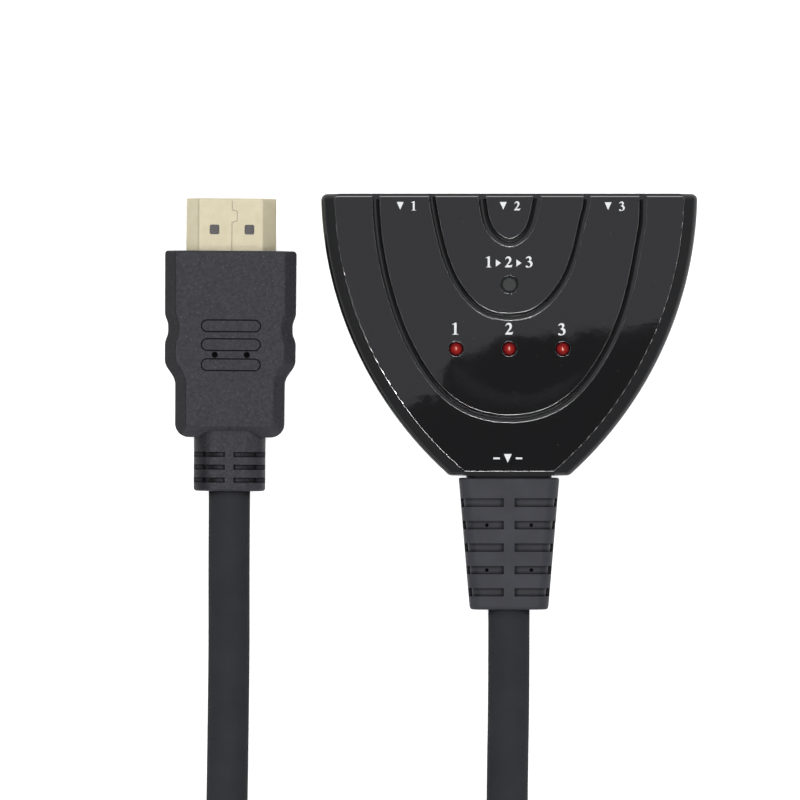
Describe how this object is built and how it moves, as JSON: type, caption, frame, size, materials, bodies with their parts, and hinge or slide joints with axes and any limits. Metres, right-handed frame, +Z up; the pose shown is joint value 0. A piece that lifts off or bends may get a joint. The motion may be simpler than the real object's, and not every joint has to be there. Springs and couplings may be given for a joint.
{
  "type": "hdmi switch box",
  "caption": "Fan-shaped glossy video switch box with a select button, indicator lamps, input sockets and a captive output cable ending in a plug.",
  "frame": {"origin": "centre of the box's underside, on the surface that it rests on", "axes": "+Z up, +Y towards the face with the input sockets, +X to the right seen from above"},
  "size_m": [0.0967, 0.1845, 0.0153],
  "materials": {
    "casing": "polished black moulded plastic",
    "button": "polished black moulded plastic, slightly lighter than the casing",
    "lamp": "diffused red resin lamp, unlit",
    "relief": "satin charcoal soft moulding",
    "cable_jacket": "satin black flexible jacket",
    "overmould": "satin charcoal soft moulding with fine spark texture",
    "inner_mould": "natural moulded plastic, hidden inside the plug",
    "plug_metal": "pale gold plated stamped sheet",
    "socket_metal": "bright plated stamped steel",
    "contact": "gold flashed contacts",
    "tinned_metal": "tinned copper",
    "insulator": "black moulded insulator",
    "board": "green solder mask on laminate",
    "chip": "black moulded package",
    "wire": "coloured wire insulation"
  },
  "bodies": {
    "box": {"bottom_shell": "casing", "box_strain_relief": "relief", "cable_coil": "cable_jacket", "cable_end_box": "cable_jacket", "cable_end_plug": "cable_jacket", "cable_run_back": "cable_jacket", "cable_run_out": "cable_jacket", "chip_leads": "tinned_metal", "chip_resistors": "chip", "led_1": "lamp", "led_2": "lamp", "led_3": "lamp", "led_leads": "tinned_metal", "main_pcb": "board", "plug_contacts": "contact", "plug_inner_mould": "inner_mould", "plug_insulator": "insulator", "plug_overmould": "overmould", "plug_shell": "plug_metal", "port_1_contacts": "contact", "port_1_insulator": "insulator", "port_1_shell": "socket_metal", "port_2_contacts": "contact", "port_2_insulator": "insulator", "port_2_shell": "socket_metal", "port_3_contacts": "contact", "port_3_insulator": "insulator", "port_3_shell": "socket_metal", "signal_wires": "wire", "snap_dome": "socket_metal", "switch_body": "insulator", "switch_chip": "chip", "switch_cover": "socket_metal", "switch_terminals": "tinned_metal", "top_shell": "casing"},
    "button": {"select_button": "button", "switch_plunger": "insulator"}
  },
  "joints": [
    {"name": "button_press", "type": "slide", "parent": "box", "child": "button", "axis": [0, 0, -1], "range_m": [0, 0.0003], "stiffness_N_per_m": 3200, "deforming": ["snap_dome"]}
  ]
}
